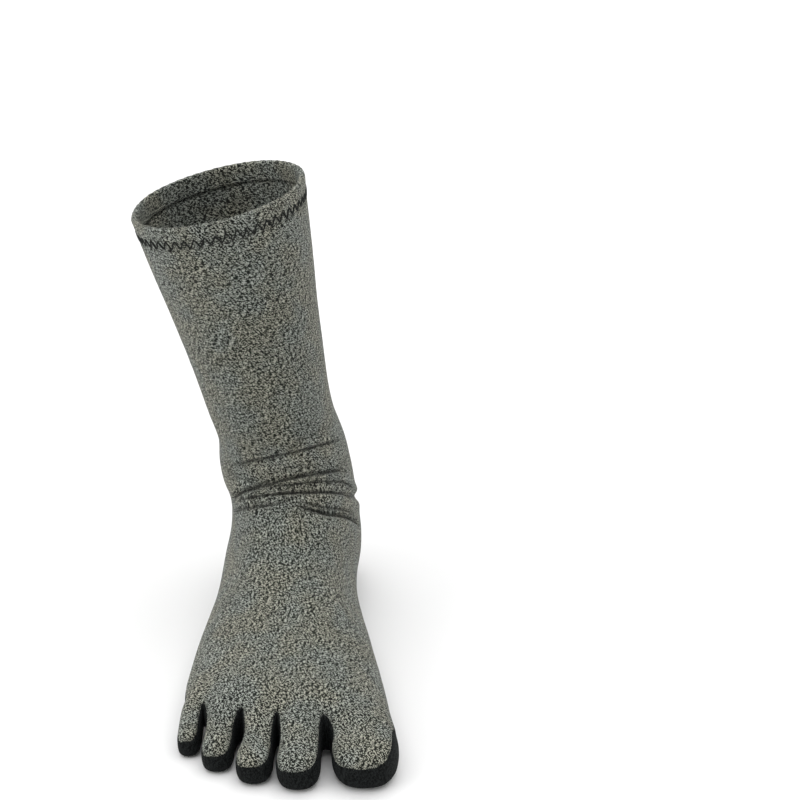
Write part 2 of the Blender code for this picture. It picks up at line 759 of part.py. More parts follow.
def panel_mesh(surface, normals, name, wall, owners, moves):
    """One panel as a closed solid: its outside, its inside and the rim between."""
    faces = [f for f, panel in zip(surface.faces, surface.panels) if panel == name]
    corners = sorted({corner for face in faces for corner in face})
    order = {corner: i for i, corner in enumerate(corners)}
    outside = [surface.points[corner] + moves.get((name, corner), 0.0) for corner in corners]
    inside = [point - normals[corner] * wall for corner, point in zip(corners, outside)]
    count = len(corners)
    solid = []
    for face in faces:
        local = [order[corner] for corner in face]
        solid.append(tuple(local))
        solid.append(tuple(corner + count for corner in local[::-1]))
        for corner, after in zip(face, face[1:] + face[:1]):
            if owners.get((after, corner)) != name:
                solid.extend(rim_faces(order[corner], order[after], count))
    return outside + inside, solid


def rim_faces(start, end, count):
    """A rim's two faces, split so that the panel across the seam splits alike."""
    if start < end:
        return (end, start, end + count), (start, start + count, end + count)
    return (end, start, start + count), (end, start + count, end + count)


def hem_mesh(ring_points, ring_normals, lower_points):
    """The doubled cuff band, whose outer face carries on the body's."""
    count = len(ring_points)
    up = ring_points - lower_points
    up /= np.linalg.norm(up, axis=1)[:, None]
    # Across the band from its outside: share of its thickness, share of its height
    profile = (
        (0.00, 0.00),
        (-0.10, 0.35),
        (-0.08, 0.80),
        (0.20, 1.00),
        (0.80, 1.00),
        (1.00, 0.85),
        (1.00, 0.15),
        (0.85, 0.00),
    )
    points = []
    for across, rise in profile:
        points.append(
            ring_points
            - ring_normals * HEM_WALL * across
            + up * (SEAM_GAP + rise * (HEM_HEIGHT - SEAM_GAP))
        )
    faces = []
    for k in range(len(profile)):
        after_k = (k + 1) % len(profile)
        for i in range(count):
            after = (i + 1) % count
            faces.append((k * count + i, k * count + after, after_k * count + after, after_k * count + i))
    return np.concatenate(points), faces


def finish(name):
    colour, roughness = FINISHES[name]
    material = bpy.data.materials.new(name)
    material.use_nodes = True
    shader = material.node_tree.nodes["Principled BSDF"]
    shader.inputs["Base Color"].default_value = (*colour, 1.0)
    shader.inputs["Roughness"].default_value = roughness
    shader.inputs["Metallic"].default_value = 0.0
    return material


def add_object(name, points, faces):
    mesh = bpy.data.meshes.new(name)
    mesh.from_pydata([tuple(float(c) for c in point) for point in points], [], faces)
    mesh.validate()
    mesh.materials.append(finish(name))
    mesh.shade_smooth()
    item = bpy.data.objects.new(name, mesh)
    bpy.context.scene.collection.objects.link(item)
    return item


def clear_scene():
    for item in list(bpy.data.objects):
        bpy.data.objects.remove(item, do_unlink=True)


def main():
    clear_scene()
    surface, index_rows = sock_surface()
    normals = corner_normals(surface)
    owners = face_owners(surface)
    moves = seam_moves(surface, owners)
    for name, wall in (("body", JERSEY_WALL), ("toe_gusset", GUSSET_WALL)):
        points, faces = panel_mesh(surface, normals, name, wall, owners, moves)
        add_object(name, points, faces)
    everything = np.array(surface.points)
    points, faces = hem_mesh(everything[index_rows[0]], normals[index_rows[0]], everything[index_rows[1]])
    add_object("hem", points, faces)


main()
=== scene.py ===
# %% [markdown]
# # A knitted toe sock, finished for a photograph
#
# The sock stands as a foot would fill it. Its panels, their sizes and places come
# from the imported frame, and this lesson gives them what the plain solids lack:
# a smooth fine surface, creases, a stitched hem, sewn seams and yarn.
# Everything is in metres, with +Z up and the toes towards -Y.

# %% Load the frame
import math
from collections import namedtuple

import bmesh
import bpy
import numpy as np
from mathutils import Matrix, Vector, kdtree, noise


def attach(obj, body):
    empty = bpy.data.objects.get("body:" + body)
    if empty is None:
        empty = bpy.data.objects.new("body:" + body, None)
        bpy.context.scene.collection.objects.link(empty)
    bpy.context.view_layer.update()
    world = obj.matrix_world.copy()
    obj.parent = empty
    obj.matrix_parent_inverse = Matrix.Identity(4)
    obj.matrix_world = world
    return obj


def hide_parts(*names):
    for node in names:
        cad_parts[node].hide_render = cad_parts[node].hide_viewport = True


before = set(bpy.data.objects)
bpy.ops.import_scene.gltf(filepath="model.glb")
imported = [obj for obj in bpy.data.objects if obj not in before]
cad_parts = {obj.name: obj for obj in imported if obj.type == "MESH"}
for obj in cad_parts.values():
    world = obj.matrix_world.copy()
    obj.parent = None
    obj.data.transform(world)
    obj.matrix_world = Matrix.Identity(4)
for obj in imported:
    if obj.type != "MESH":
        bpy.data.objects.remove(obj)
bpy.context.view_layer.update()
print("frame nodes:", sorted(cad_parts))

# %% [markdown]
# ## The camera
#
# A camera far away with a long lens keeps the sock's proportions. It looks down
# at 23.5 degrees from straight in front of the toes. Moving it sideways, not
# turning it, puts the sock left of the middle, as it stands in the picture.

# %% Place the camera
CAMERA_TILT = math.radians(23.5)
CAMERA_DISTANCE = 0.95
ANKLE_AIM = Vector((0.0, 0.0, 0.079))
AIM_PIXEL = (293.0, 459.4)
FRAME_PIXELS = 800
FOCAL_PIXELS = 1829.0
SENSOR = 36.0


def place_camera():
    forward = Vector((0.0, math.cos(CAMERA_TILT), -math.sin(CAMERA_TILT)))
    upward = Vector((0.0, math.sin(CAMERA_TILT), math.cos(CAMERA_TILT)))
    aside = (AIM_PIXEL[0] - FRAME_PIXELS / 2) / FOCAL_PIXELS * CAMERA_DISTANCE
    above = (AIM_PIXEL[1] - FRAME_PIXELS / 2) / FOCAL_PIXELS * CAMERA_DISTANCE
    lens = bpy.data.cameras.new("camera")
    lens.sensor_width = SENSOR
    lens.lens = FOCAL_PIXELS / FRAME_PIXELS * SENSOR
    camera = bpy.data.objects.new("camera", lens)
    camera.location = ANKLE_AIM - forward * CAMERA_DISTANCE + upward * above
    camera.location.x -= aside
    camera.rotation_euler = (math.pi / 2 - CAMERA_TILT, 0.0, 0.0)
    bpy.context.scene.collection.objects.link(camera)
    bpy.context.scene.camera = camera
    print("camera lens", round(lens.lens, 1), "mm")


place_camera()

# %% [markdown]
# ## Where the ankle creases
#
# Where the leg meets the foot, the cloth has nowhere to go and folds into thin
# creases. Each one runs across the front and falls away to both sides, like a
# shallow arch. So a crease is a row of a table: the turns at which it starts and
# ends, its heights at the left end, the middle and the right end, and how deep and
# wide it is. Turn 0 faces the toes and turn 1 faces the big toe's side, where the
# widest crease cuts a notch into the ankle's outline.

# %% Chart the creases
LEG_LEAN = math.radians(12.0)
LEAN_START = 0.062
# How far behind the origin the middle of the turns lies
TURN_CENTRE = 0.009

Crease = namedtuple("Crease", "start end left middle right depth breadth")
CREASES = (
    Crease(0.05, 0.70, 0.1044, 0.1070, 0.1000, 0.0004, 0.0010),
    Crease(-0.40, 0.69, 0.0867, 0.0994, 0.0940, 0.0010, 0.0008),
    Crease(-0.56, 0.62, 0.0600, 0.0866, 0.0780, 0.0015, 0.0008),
    Crease(-0.18, 0.73, 0.0802, 0.0834, 0.0616, 0.0011, 0.0007),
    Crease(-0.39, 0.66, 0.0684, 0.0805, 0.0591, 0.0012, 0.0007),
    Crease(0.42, 1.20, 0.0725, 0.0580, 0.0500, 0.0018, 0.0021),
    Crease(-0.56, 0.14, 0.0540, 0.0715, 0.0790, 0.0010, 0.0007),
    Crease(0.02, 0.66, 0.0810, 0.0672, 0.0490, 0.0010, 0.0007),
    Crease(0.00, 0.75, 0.0795, 0.0620, 0.0410, 0.0016, 0.0008),
    Crease(-0.45, -0.12, 0.0420, 0.0570, 0.0635, 0.0006, 0.0009),
)
# Each end of a crease fades out over this share of a turn
CREASE_FADE = 0.18
# A crease this deep or deeper gets the darkest painted shade
FULL_SHADE_DEPTH = 0.0012
# The painted shade is equally thin in every crease
SHADE_BREADTH = 0.0006


def smooth_step(value):
    value = np.clip(value, 0.0, 1.0)
    return value * value * (3 - 2 * value)


def lean(height):
    return -math.tan(LEG_LEAN) * np.maximum(0.0, height - LEAN_START)


def turn_round_ankle(x, y, z):
    return np.arctan2(x - lean(z), TURN_CENTRE - y) / (math.pi / 2)


print(len(CREASES), "creases, the highest at", CREASES[0].middle, "m")

# %% [markdown]
# ## From a solid panel back to its cloth
#
# The frame's panels are solids: an outside, an inside and a narrow rim. For a
# fine cloth we want the outside alone, because Blender's Solidify modifier makes
# the thickness again after all shaping. Each outside point has a partner on the
# inside, exactly one wall away. Faces that join a point to its partner are the
# rim. Without them the panel falls into two sheets, and the larger is the outside.

# %% Take the outer sheet of a panel
JERSEY_WALL = 0.0014
GUSSET_WALL = 0.0012
WELD = 1e-6
# Two triangles that bend and skew no more than this join into a quad
QUAD_BEND = math.radians(50.0)
QUAD_SKEW = math.radians(65.0)


def welded_copy(node):
    sheet = bmesh.new()
    sheet.from_mesh(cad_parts[node].data)
    bmesh.ops.remove_doubles(sheet, verts=sheet.verts, dist=WELD)
    sheet.verts.index_update()
    return sheet


def wall_partners(sheet, wall):
    tree = kdtree.KDTree(len(sheet.verts))
    for vert in sheet.verts:
        tree.insert(vert.co, vert.index)
    tree.balance()
    partners = {}
    for vert in sheet.verts:
        found = tree.find_range(vert.co, wall + 2 * WELD)
        partners[vert.index] = {
            index for _, index, distance in found if distance > wall - 2 * WELD
        }
    return partners


def joins_partners(face, partners):
    """Whether a face runs from the outside to the inside, as those of the rim do."""
    return any(b.index in partners[a.index] for a in face.verts for b in face.verts)


def connected_sheets(faces):
    """Groups of faces that share edges."""
    waiting = set(faces)
    groups = []
    while waiting:
        reached = [waiting.pop()]
        group = []
        while reached:
            face = reached.pop()
            group.append(face)
            for edge in face.edges:
                for neighbour in edge.link_faces:
                    if neighbour in waiting:
                        waiting.remove(neighbour)
                        reached.append(neighbour)
        groups.append(group)
    return groups


def outer_sheet(node, wall):
    sheet = welded_copy(node)
    partners = wall_partners(sheet, wall)
    rim = [face for face in sheet.faces if joins_partners(face, partners)]
    bmesh.ops.delete(sheet, geom=rim, context="FACES_ONLY")
    groups = connected_sheets(list(sheet.faces))
    groups.sort(key=lambda group: sum(face.calc_area() for face in group))
    inside = [face for group in groups[:-1] for face in group]
    bmesh.ops.delete(sheet, geom=inside, context="FACES")
    loose = [vert for vert in sheet.verts if not vert.link_faces]
    bmesh.ops.delete(sheet, geom=loose, context="VERTS")
    bmesh.ops.join_triangles(
        sheet,
        faces=list(sheet.faces),
        angle_face_threshold=QUAD_BEND,
        angle_shape_threshold=QUAD_SKEW,
    )
    quads = sum(len(face.verts) == 4 for face in sheet.faces)
    print(node, "outer sheet:", len(sheet.faces), "faces, of them", quads, "quads")
    return sheet


body_sheet = outer_sheet("body", JERSEY_WALL)
gusset_sheet = outer_sheet("toe_gusset", GUSSET_WALL)

# %% [markdown]
# ## A smooth, fine surface
#
# Subdivision rounds the facets of a sheet into one smooth surface. It also gives
# the points that the creases will move. Sculpting would need such points as well,
# and a modifier lays them evenly. The creases are narrower than the faces of the
# ankle, so the ankle first gets twice as many rows of faces.

# %% Add rows at the ankle and smooth the sheets
# The part of the ankle that creases
CREASE_BOTTOM = 0.045
CREASE_TOP = 0.110
CREASE_WIDEST_TURN = 1.0
# Share of its length by which an edge that crosses the creases rises
UPRIGHT_SHARE = 0.55


def crosses_creases(edge):
    run = edge.verts[1].co - edge.verts[0].co
    middle = (edge.verts[0].co + edge.verts[1].co) / 2
    upright = abs(run.z) > UPRIGHT_SHARE * run.length
    near = abs(turn_round_ankle(*middle)) < CREASE_WIDEST_TURN
    return upright and near and CREASE_BOTTOM < middle.z < CREASE_TOP


def add_crease_rows(sheet):
    """Twice as many rows of faces where the ankle creases."""
    upright = [edge for edge in sheet.edges if crosses_creases(edge)]
    bmesh.ops.subdivide_edges(sheet, edges=upright, cuts=1, use_grid_fill=True)
    return sheet


def smooth_sheet(name, sheet, levels):
    """Subdivide a sheet, so that its facets become one smooth surface."""
    mesh = bpy.data.meshes.new(name)
    sheet.to_mesh(mesh)
    sheet.free()
    piece = bpy.data.objects.new(name, mesh)
    bpy.context.scene.collection.objects.link(piece)
    subdivision = piece.modifiers.new("smooth", "SUBSURF")
    subdivision.levels = levels
    subdivision.render_levels = levels
    smoothed = piece.evaluated_get(bpy.context.evaluated_depsgraph_get())
    fine = bpy.data.meshes.new_from_object(smoothed)
    piece.modifiers.clear()
    piece.data = fine
    fine.name = name
    fine.shade_smooth()
    return piece


body_cloth = smooth_sheet("heather_cloth", add_crease_rows(body_sheet), levels=2)
gusset_cloth = smooth_sheet("gusset_cloth", gusset_sheet, levels=3)
print("fine faces:", len(body_cloth.data.polygons), "and", len(gusset_cloth.data.polygons))

# %% [markdown]
# ## Creases and slack as fields
#
# The solid already has the large folds of the ankle. Here each charted crease gets
# its sharp valley and the soft rolls beside it. They could be sculpted by hand, but
# a formula follows the chart and is changed by one number. The valley is a narrow
# bell curve of a point's distance from the crease. Slack adds the faint unevenness
# of cloth that is pulled on by hand.

# %% Work out creases and slack
# Length of cloth in one turn, a quarter of the way round the ankle
ANKLE_TURN_LENGTH = 0.055
# The soft rolls above and below a valley: share of its depth, and distance in breadths
ROLLS = ((0.40, 2.1), (0.30, -2.1))
ROLL_SPREAD = 1.4
SLACK_DEPTH = 0.00035
SLACK_SIZE = 0.030
TEXTURE_DEPTH = 0.00008
TEXTURE_SIZE = 0.004


def crease_fields(points):
    """How far the creases move each point, and how much painted crease shade it gets, from 0 to 1.
    """
    x, y, z = points.T
    turn = turn_round_ankle(x, y, z)
    shift = np.zeros(len(points))
    shade = np.zeros(len(points))
    for crease in CREASES:
        half = (crease.end - crease.start) / 2
        share = (turn - crease.start) / half - 1
        rise = (crease.right - crease.left) / 2
        bow = (crease.left + crease.right) / 2 - crease.middle
        height = crease.middle + rise * share + bow * share**2
        reach = smooth_step((turn - crease.start) / CREASE_FADE)
        reach = reach * smooth_step((crease.end - turn) / CREASE_FADE)
        # A crease that runs slantwise is as narrow as a level one
        slope = (rise + 2 * bow * share) / half / ANKLE_TURN_LENGTH
        away = (z - height) / crease.breadth / np.sqrt(1 + slope**2)
        valley = -np.exp(-(away**2))
        rolls = sum(high * np.exp(-((away - place) ** 2) / ROLL_SPREAD) for high, place in ROLLS)
        shift += crease.depth * reach * (valley + rolls)
        # The painted shade of a crease: darker for a deeper one, and equally thin in all
        darkest = min(1.0, crease.depth / FULL_SHADE_DEPTH)
        across = away * crease.breadth / SHADE_BREADTH
        shade = np.maximum(shade, darkest * reach * np.exp(-(across**2)))
    return shift, shade


def slack_field(points):
    """Faint unevenness of cloth that is stretched by hand."""
    values = []
    for x, y, z in points:
        broad = noise.noise(Vector((x, y, z)) / SLACK_SIZE)
        fine = noise.noise(Vector((x, y, z)) / TEXTURE_SIZE)
        values.append(SLACK_DEPTH * broad + TEXTURE_DEPTH * fine)
    return np.array(values)


print("deepest crease:", max(crease.depth for crease in CREASES) * 1000, "mm")

# %% [markdown]
# ## Pressing them into the cloth
#
# Every point of a fine sheet moves along its own normal, as a Displace modifier
# would move it. Moving the points here lets the creases leave a mark as well: a
# painted shade, darker in a deeper crease, is kept as a named attribute for the
# material. The edges stay where they are, because seams and hem follow them.

# %% Press the sheets
# Beside an edge, the movement fades in over this distance
STILL_EDGE = 0.004


def read_mesh(mesh):
    points = np.empty(len(mesh.vertices) * 3)
    normals = np.empty(len(mesh.vertices) * 3)
    mesh.vertices.foreach_get("co", points)
    mesh.vertices.foreach_get("normal", normals)
    return points.reshape(-1, 3), normals.reshape(-1, 3)


def edge_nearness(mesh, reach):
    """1 on a sheet's open edge, falling to 0 at a distance from it."""
    points, _ = read_mesh(mesh)
    uses = {}
    for polygon in mesh.polygons:
        for key in polygon.edge_keys:
            uses[key] = uses.get(key, 0) + 1
    rim = sorted({corner for key, count in uses.items() if count == 1 for corner in key})
    tree = kdtree.KDTree(len(rim))
    for corner in rim:
        tree.insert(points[corner], corner)
    tree.balance()
    away = np.array([tree.find(point)[2] for point in points])
    return 1 - smooth_step(away / reach)


def press(piece, with_creases):
    points, normals = read_mesh(piece.data)
    shift = slack_field(points)
    if with_creases:
        creased, shade = crease_fields(points)
        shift += creased
        # The painted shade of the creases is kept as a named attribute, for the material
        piece.data.attributes.new("crease", "FLOAT", "POINT").data.foreach_set("value", shade)
    shift *= 1 - edge_nearness(piece.data, STILL_EDGE)
    moved = points + normals * shift[:, None]
    moved[:, 2] = np.maximum(moved[:, 2], 0.0)
    piece.data.vertices.foreach_set("co", moved.ravel())
    piece.data.update()
    print(piece.name, "moved by up to", round(float(abs(shift).max()) * 1000, 2), "mm")


press(body_cloth, with_creases=True)
press(gusset_cloth, with_creases=False)

# %% [markdown]
# ## Rolled edges and thickness
#
# A cut edge of jersey curls and is drawn down into its seam. So the last millimetre
# and a half before a seam bends inwards. Then Solidify gives each sheet the
# thickness of its cloth, inwards from the surface that we shaped. An inside that is
# modelled apart would soon drift from it, and the modifier keeps both parallel.

# %% Roll the seam edges and thicken
ROLL_REACH = 0.0016
ROLL_DEPTH = 0.00055
SEAM_LEVEL = 0.15


def roll_edges(piece):
    points, normals = read_mesh(piece.data)
    near = edge_nearness(piece.data, ROLL_REACH)
    # The cuff's edge carries on into the hem, so only seams low on the foot roll
    near *= points[:, 2] < SEAM_LEVEL
    moved = points - normals * (ROLL_DEPTH * near**2)[:, None]
    moved[:, 2] = np.maximum(moved[:, 2], 0.0)
    piece.data.vertices.foreach_set("co", moved.ravel())
    piece.data.update()


def thicken(piece, wall):
    thickness = piece.modifiers.new("cloth", "SOLIDIFY")
    thickness.thickness = wall
    thickness.offset = -1.0


for cloth, wall in ((body_cloth, JERSEY_WALL), (gusset_cloth, GUSSET_WALL)):
    roll_edges(cloth)
    thicken(cloth, wall)
    print(cloth.name, "is", wall * 1000, "mm thick")

# %% [markdown]
# ## Walking along an edge
#
# The hem and the seams follow the edges of the sheets. An edge that belongs to
# one face only is a boundary. Following these edges from point to point gives
# each boundary as one closed ring of points, with the outward normal and the
# way into the sheet at each point.

# %% Collect the sheets' boundary rings
Ring = namedtuple("Ring", "points normals inward")


def boundary_rings(piece):
    sheet = bmesh.new()
    sheet.from_mesh(piece.data)
    edges = {edge for edge in sheet.edges if edge.is_boundary}
    rings = []
    while edges:
        edge = min(edges, key=lambda e: e.index)
        edges.remove(edge)
        first, here = edge.verts
        chain = [first]
        while here is not first:
            chain.append(here)
            ahead = [e for e in here.link_edges if e in edges]
            edges.remove(ahead[0])
            here = ahead[0].other_vert(here)
        rings.append(ring_of(chain))
    sheet.free()
    return rings


def ring_of(chain):
    inward = []
    for vert in chain:
        inner = [e.other_vert(vert).co for e in vert.link_edges if not e.is_boundary]
        way = sum((co - vert.co for co in inner), Vector())
        inward.append(way.normalized())
    return Ring(
        np.array([vert.co for vert in chain]),
        np.array([vert.normal for vert in chain]),
        np.array(inward),
    )


def way_round(ring):
    """The distance of each point from the ring's start, and last the whole length."""
    closed = np.vstack((ring.points, ring.points[:1]))
    lengths = np.linalg.norm(np.diff(closed, axis=0), axis=1)
    return np.concatenate(([0.0], np.cumsum(lengths)))


def evenly(ring, count):
    """The ring read again at evenly spaced places."""
    distances = way_round(ring)
    places = np.linspace(0.0, distances[-1], count, endpoint=False)
    parts = []
    for part in ring:
        closed = np.vstack((part, part[:1]))
        columns = [np.interp(places, distances, column) for column in closed.T]
        parts.append(np.column_stack(columns))
    points, normals, inward = parts
    normals /= np.linalg.norm(normals, axis=1)[:, None]
    inward /= np.linalg.norm(inward, axis=1)[:, None]
    return Ring(points, normals, inward)


body_rings = boundary_rings(body_cloth)
gusset_rings = boundary_rings(gusset_cloth)
cuff_ring = max(body_rings, key=lambda ring: ring.points[:, 2].mean())
seam_ring = max(gusset_rings, key=lambda ring: len(ring.points))
for name, rings in (("body", body_rings), ("gusset", gusset_rings)):
    print(name, "rings of points:", [len(ring.points) for ring in rings])

# %% [markdown]
# ## The hem
#
# The cuff's edge is turned to the inside and stitched down, so the hem is two
# layers of cloth with a soft fold along the top. A curve with a bevel could be such
# a band, but only a mesh of our own can pucker under its stitches. It starts as a
# profile, the outline of a cut straight through the hem.

# %% Draw the hem's profile
HEM_HEIGHT = 0.0110
HEM_WALL = 0.0030
HEM_GAP = 0.00005
# The layer that is turned in ends at this height, and its cut edge runs back
# under it: shares of the hem's wall, and heights
TURNED_END = 0.0018
CUT_EDGE = ((0.93, 0.0011), (0.62, 0.0010))
CUT_EDGE_TOP = 0.0008
# Rows of points on the face, the fold and the inside
FACE_ROWS = 16
FOLD_ROWS = 12
INSIDE_ROWS = 9


def hem_profile():
    """Points across the hem: how far in from its face, and how far up."""
    radius = HEM_WALL / 2
    shoulder = HEM_HEIGHT - radius
    face = [(0.0, rise) for rise in np.linspace(HEM_GAP, shoulder, FACE_ROWS)]
    fold = [
        (radius + radius * math.cos(turn), shoulder + radius * math.sin(turn))
        for turn in np.linspace(math.pi, 0.0, FOLD_ROWS)[1:-1]
    ]
    inside = [(HEM_WALL, rise) for rise in np.linspace(shoulder, TURNED_END, INSIDE_ROWS)]
    under = [(HEM_WALL * share, rise) for share, rise in CUT_EDGE]
    under += [(JERSEY_WALL, CUT_EDGE_TOP), (JERSEY_WALL, HEM_GAP)]
    return face + fold + inside + under


print("hem profile:", len(hem_profile()), "points")

# %% [markdown]
# ## Carrying the profile round the cuff
#
# Repeated all round the ring, the profile becomes the hem. Where the zigzag thread
# pulls the two layers together the cloth sinks in a little, and this pucker follows
# the thread. So the thread's wave is needed here already.

# %% Build the hem
# Points round the cuff
HEM_ROUND = 720
ZIGZAG_PERIOD = 0.0052
ZIGZAG_HEIGHT = 0.0043
ZIGZAG_LEVEL = 0.0024
CORNER_ROUNDING = 0.25
# The pucker's depth, its shares at the thread and all along the band, and their reaches
PUCKER = 0.00035
AT_THREAD, THREAD_REACH = 0.7, 0.0011
ALONG_BAND, BAND_REACH = 0.5, 0.0026
# The layer behind is drawn the other way, and less
BEHIND = -0.6
# The rim waves faintly, more towards its fold
RIM_WAVE = 0.00010
WAVE_START = 0.006
WAVE_RISE = 0.005


def zigzag_wave(place):
    """From -1 to 1 and back once for each stitch pair, with slightly rounded corners."""
    share = place % 1.0
    triangle = 1 - 4 * abs(share - 0.5)
    rounded = math.sin(triangle * math.pi / 2)
    return rounded * CORNER_ROUNDING + triangle * (1 - CORNER_ROUNDING)


def pucker(place, rise):
    """How deep the cloth is drawn in beside the thread."""
    line = ZIGZAG_LEVEL + ZIGZAG_HEIGHT / 2 * zigzag_wave(place)
    near = math.exp(-(((rise - line) / THREAD_REACH) ** 2))
    band = math.exp(-(((rise - ZIGZAG_LEVEL) / BAND_REACH) ** 2))
    return PUCKER * (AT_THREAD * near + ALONG_BAND * band)


def build_hem(ring, pairs):
    profile = hem_profile()
    points = []
    for i in range(HEM_ROUND):
        place = i / HEM_ROUND * pairs
        upward = -ring.inward[i]
        wave = RIM_WAVE * math.sin(2 * math.pi * place)
        for across, rise in profile:
            layer = 1.0 if across < HEM_WALL / 2 else BEHIND
            depth = across + layer * pucker(place, rise)
            lift = rise + wave * smooth_step((rise - WAVE_START) / WAVE_RISE)
            points.append(ring.points[i] - ring.normals[i] * depth + upward * lift)
    count = len(profile)
    faces = []
    for i in range(HEM_ROUND):
        here = i * count
        after = (i + 1) % HEM_ROUND * count
        for k in range(count):
            ahead = (k + 1) % count
            faces.append((here + k, here + ahead, after + ahead, after + k))
    return add_mesh("folded_hem", points, faces)


def add_mesh(name, points, faces):
    mesh = bpy.data.meshes.new(name)
    mesh.from_pydata([tuple(point) for point in points], [], faces)
    mesh.validate()
    mesh.shade_smooth()
    piece = bpy.data.objects.new(name, mesh)
    bpy.context.scene.collection.objects.link(piece)
    outward = bmesh.new()
    outward.from_mesh(mesh)
    bmesh.ops.recalc_face_normals(outward, faces=outward.faces)
    outward.to_mesh(mesh)
    outward.free()
    return piece


cuff_length = way_round(cuff_ring)[-1]
stitch_pairs = round(cuff_length / ZIGZAG_PERIOD)
hem_ring = evenly(cuff_ring, HEM_ROUND)
folded_hem = build_hem(hem_ring, stitch_pairs)
print("cuff length", round(cuff_length, 4), "m,", stitch_pairs, "stitch pairs")

# %% [markdown]
# ## The zigzag thread
#
# A zigzag machine lays the thread slantwise over the cloth and takes it down at
# each corner. We lay a thin curve on the hem's face: high in the middle of each
# slant, low at the corners where the needle went in. A curve with a bevel is a
# round thread at once, and stays easy to change.

# %% Sew the zigzag
THREAD_RADIUS = 0.00039
STEPS_PER_SLANT = 5
# In radii: how high the thread lies, and how far it dips at a corner
THREAD_HEIGHT = 0.9
CORNER_DIP = 1.5
CORNER_POWER = 6


def add_thread(name, lines, radius, closed):
    curve = bpy.data.curves.new(name, "CURVE")
    curve.dimensions = "3D"
    curve.bevel_depth = radius
    curve.bevel_resolution = 1
    curve.use_fill_caps = True
    for line in lines:
        spline = curve.splines.new("POLY")
        spline.points.add(len(line) - 1)
        for point, place in zip(spline.points, line):
            point.co = (*place, 1.0)
        spline.use_cyclic_u = closed
    piece = bpy.data.objects.new(name, curve)
    bpy.context.scene.collection.objects.link(piece)
    return piece


def zigzag_line(ring, pairs):
    count = pairs * 2 * STEPS_PER_SLANT
    line = []
    for i in range(count):
        place = i / (2 * STEPS_PER_SLANT)
        j = round(i / count * HEM_ROUND) % HEM_ROUND
        wave = zigzag_wave(place)
        rise = ZIGZAG_LEVEL + ZIGZAG_HEIGHT / 2 * wave
        dip = CORNER_DIP * abs(wave) ** CORNER_POWER
        above = THREAD_RADIUS * (THREAD_HEIGHT - dip) - pucker(place, rise)
        line.append(ring.points[j] - ring.inward[j] * rise + ring.normals[j] * above)
    return line


zigzag_path = zigzag_line(hem_ring, stitch_pairs)
zigzag = add_thread("zigzag_thread", [zigzag_path], THREAD_RADIUS, True)
print("zigzag points:", len(zigzag_path))

# %% [markdown]
# ## The gusset's seam allowance
#
# The black gusset is sewn to the heather cloth all the way round the toes. Inside
# lies the seam allowance, the cut edges bound by thread, like a thin cord behind
# the seam. It follows the gusset's boundary, halfway to the nearest point of the
# heather edge, and ends before the gusset's two tips, where there is no room for it.
# Nobody sees more of it than its shape, so a bevelled curve serves again.

# %% Lay the seam allowance
ALLOWANCE_RADIUS = 0.0009
ALLOWANCE_DEPTH = 0.0013
ALLOWANCE_SPACING = 0.0011
# It needs a gusset that is wider than this
ALLOWANCE_ROOM = 0.0034
# Along the seam, points nearer than this are on the same side of the gusset
SAME_SIDE = 0.0088


def seam_middle(ring):
    """The line halfway between the gusset's edge and the heather's."""
    low = np.vstack([r.points for r in body_rings if r is not cuff_ring])
    tree = kdtree.KDTree(len(low))
    for i, point in enumerate(low):
        tree.insert(point, i)
    tree.balance()
    middles = [(point + np.array(tree.find(point)[0])) / 2 for point in ring.points]
    return Ring(np.array(middles), ring.normals, ring.inward)


def open_runs(ring, room, spacing):
    """The seam without its narrow tips: runs of points with more room to the other side."""
    count = len(ring.points)
    index = np.arange(count)
    runs = [[]]
    for i, point in enumerate(ring.points):
        steps = np.abs(index - i)
        other_side = np.minimum(steps, count - steps) > round(SAME_SIDE / spacing)
        across = np.linalg.norm(ring.points[other_side] - point, axis=1).min()
        if across > room:
            runs[-1].append(i)
        elif runs[-1]:
            runs.append([])
    return [run for run in runs if len(run) > 2]


seam_line = seam_middle(seam_ring)
seam_length = way_round(seam_line)[-1]
allowance_path = evenly(seam_line, round(seam_length / ALLOWANCE_SPACING))
allowance_line = allowance_path.points - allowance_path.normals * ALLOWANCE_DEPTH
runs = open_runs(allowance_path, ALLOWANCE_ROOM, ALLOWANCE_SPACING)
cords = [allowance_line[run] for run in runs]
allowance = add_thread("seam_allowance", cords, ALLOWANCE_RADIUS, False)
print("seam allowance in", len(runs), "runs of points:", [len(run) for run in runs])

# %% [markdown]
# ## The seam's stitches
#
# On the face, small stitches cross from the black cloth to the heather. They could
# be painted, but only a thread that stands up catches the light. Each is a staple
# that rises out of one cloth, lies across the seam and goes down into the other. In
# the middle it sinks with the rolled edges.

# %% Sew the stitches
STITCH_SPACING = 0.0022
STITCH_HALF = 0.00085
STITCH_RADIUS = 0.00013
STITCH_ROOM = 0.0024
# Where a stitch bends: share of its half length, height, and how far it sinks
# with the rolled edges, as a share of their depth
STITCH_BENDS = (
    (-1.0, -0.00040, 0.20),
    (-0.8, 0.00012, 0.20),
    (0.0, 0.00012, 0.55),
    (0.8, 0.00012, 0.20),
    (1.0, -0.00040, 0.20),
)


def seam_stitches(ring):
    """Short staples that cross the seam and end in the cloth on both sides."""
    lines = []
    for point, normal, inward in zip(*ring):
        staple = []
        for share, height, sunk in STITCH_BENDS:
            lift = height - ROLL_DEPTH * sunk
            staple.append(point + inward * STITCH_HALF * share + normal * lift)
        lines.append(staple)
    return lines


stitch_places = evenly(seam_line, round(seam_length / STITCH_SPACING))
runs = open_runs(stitch_places, STITCH_ROOM, STITCH_SPACING)
stitch_places = Ring(*[part[np.concatenate(runs)] for part in stitch_places])
stitches = add_thread("seam_stitches", seam_stitches(stitch_places), STITCH_RADIUS, False)
print("seam length", round(seam_length, 3), "m,", len(stitch_places.points), "stitches")

